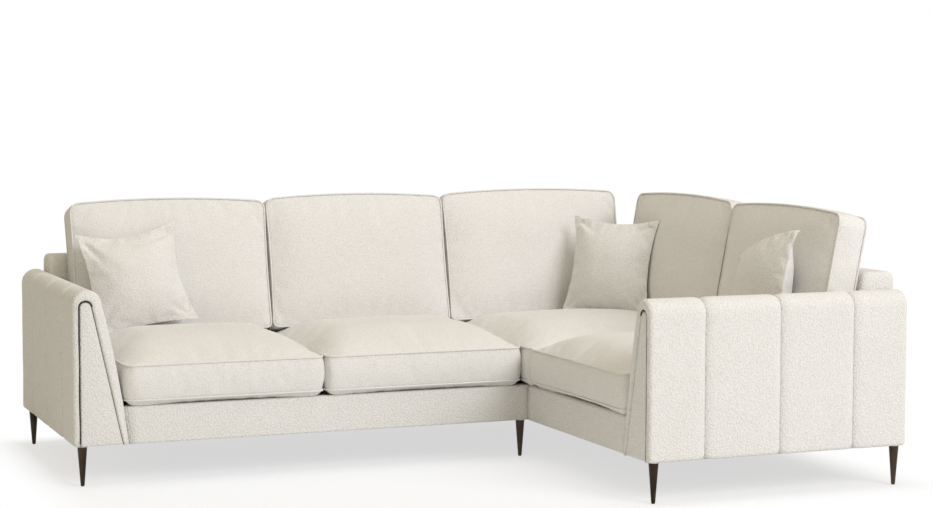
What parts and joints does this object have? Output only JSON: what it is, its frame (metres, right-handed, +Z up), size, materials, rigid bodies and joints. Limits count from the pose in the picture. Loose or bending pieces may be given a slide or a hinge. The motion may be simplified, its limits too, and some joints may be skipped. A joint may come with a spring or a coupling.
{
  "type": "corner sofa",
  "caption": "Corner sofa with a long run and a short return, channelled rolled arms, loose seat, back and scatter cushions and round tapered metal legs.",
  "frame": {"origin": "on the floor under the centre of the whole footprint, the middle of the bounding box's bottom", "axes": "+X along the long run from the left arm to the corner, +Y from the open front to the long back, +Z up; the return runs towards -Y on the +X side"},
  "size_m": [2.53, 1.88, 0.9098],
  "materials": {
    "upholstery": "pebbly woven boucle in off white",
    "leg_metal": "dark bronze, satin",
    "timber": "planed, unfinished",
    "strap": "woven elastic",
    "deck_felt": "felt",
    "dust_cloth": "thin non-woven cloth",
    "steel": "zinc plated",
    "glide_plastic": "moulded, matt"
  },
  "bodies": {
    "frame": {"corner_back_formers": "timber", "corner_back_rails": "timber", "corner_back_shell": "upholstery", "floor_glides": "glide_plastic", "joining_bolts": "steel", "left_arm_bolts": "steel", "left_arm_formers": "timber", "left_arm_front_panel": "upholstery", "left_arm_pad": "upholstery", "left_arm_rails": "timber", "left_arm_rear_panel": "upholstery", "leg_inner_corner": "leg_metal", "leg_left_front": "leg_metal", "leg_left_rear": "leg_metal", "leg_plates": "steel", "leg_rear_corner": "leg_metal", "leg_rear_middle": "leg_metal", "leg_return_front": "leg_metal", "leg_return_rear": "leg_metal", "leg_side_middle": "leg_metal", "long_back_formers": "timber", "long_back_rail": "timber", "long_back_rails": "timber", "long_back_shell": "upholstery", "long_cross_members": "timber", "long_deck_pad": "deck_felt", "long_dust_cover": "dust_cloth", "long_front_rail": "timber", "long_front_rail_cover": "upholstery", "long_glue_blocks": "timber", "long_seat_straps": "strap", "return_back_formers": "timber", "return_back_rail": "timber", "return_back_rails": "timber", "return_back_shell": "upholstery", "return_cross_members": "timber", "return_deck_pad": "deck_felt", "return_dust_cover": "dust_cloth", "return_front_rail": "timber", "return_front_rail_cover": "upholstery", "return_glue_blocks": "timber", "return_seat_straps": "strap", "right_arm_bolts": "steel", "right_arm_formers": "timber", "right_arm_front_panel": "upholstery", "right_arm_pad": "upholstery", "right_arm_rails": "timber", "right_arm_rear_panel": "upholstery", "seat_cushion_corner": "upholstery"},
    "back_cushion_left": {"back_cushion_left": "upholstery"},
    "back_cushion_middle": {"back_cushion_middle": "upholstery"},
    "back_cushion_corner_left": {"back_cushion_corner_left": "upholstery"},
    "back_cushion_corner_right": {"back_cushion_corner_right": "upholstery"},
    "back_cushion_return": {"back_cushion_return": "upholstery"},
    "seat_cushion_left": {"seat_cushion_left": "upholstery"},
    "seat_cushion_middle": {"seat_cushion_middle": "upholstery"},
    "seat_cushion_return": {"seat_cushion_return": "upholstery"},
    "scatter_cushion_left": {"scatter_cushion_left": "upholstery"},
    "scatter_cushion_corner": {"scatter_cushion_corner": "upholstery"},
    "scatter_cushion_right": {"scatter_cushion_right": "upholstery"}
  },
  "joints": [
    {"name": "back_cushion_left_lift", "type": "slide", "parent": "frame", "child": "back_cushion_left", "axis": [0, 0.2079, 0.9781], "range_m": [0, 0.53]},
    {"name": "back_cushion_middle_lift", "type": "slide", "parent": "frame", "child": "back_cushion_middle", "axis": [0, 0.2079, 0.9781], "range_m": [0, 0.53]},
    {"name": "back_cushion_corner_left_lift", "type": "slide", "parent": "frame", "child": "back_cushion_corner_left", "axis": [0, 0.2079, 0.9781], "range_m": [0, 0.53]},
    {"name": "back_cushion_corner_right_lift", "type": "slide", "parent": "frame", "child": "back_cushion_corner_right", "axis": [0.1822, 0, 0.9833], "range_m": [0, 0.53]},
    {"name": "back_cushion_return_lift", "type": "slide", "parent": "frame", "child": "back_cushion_return", "axis": [0.1822, 0, 0.9833], "range_m": [0, 0.53]},
    {"name": "seat_cushion_left_slide", "type": "slide", "parent": "frame", "child": "seat_cushion_left", "axis": [0, -1, 0], "range_m": [0, 0.76]},
    {"name": "seat_cushion_middle_slide", "type": "slide", "parent": "frame", "child": "seat_cushion_middle", "axis": [0, -0.9659, 0.2588], "range_m": [0, 0.79]},
    {"name": "seat_cushion_return_slide", "type": "slide", "parent": "frame", "child": "seat_cushion_return", "axis": [-1, 0, 0], "range_m": [0, 0.72]},
    {"name": "scatter_cushion_left_lift", "type": "slide", "parent": "frame", "child": "scatter_cushion_left", "axis": [0, 0, 1], "range_m": [0, 0.5]},
    {"name": "scatter_cushion_corner_lift", "type": "slide", "parent": "frame", "child": "scatter_cushion_corner", "axis": [0, 0, 1], "range_m": [0, 0.5]},
    {"name": "scatter_cushion_right_lift", "type": "slide", "parent": "frame", "child": "scatter_cushion_right", "axis": [0, 0, 1], "range_m": [0, 0.5]}
  ]
}
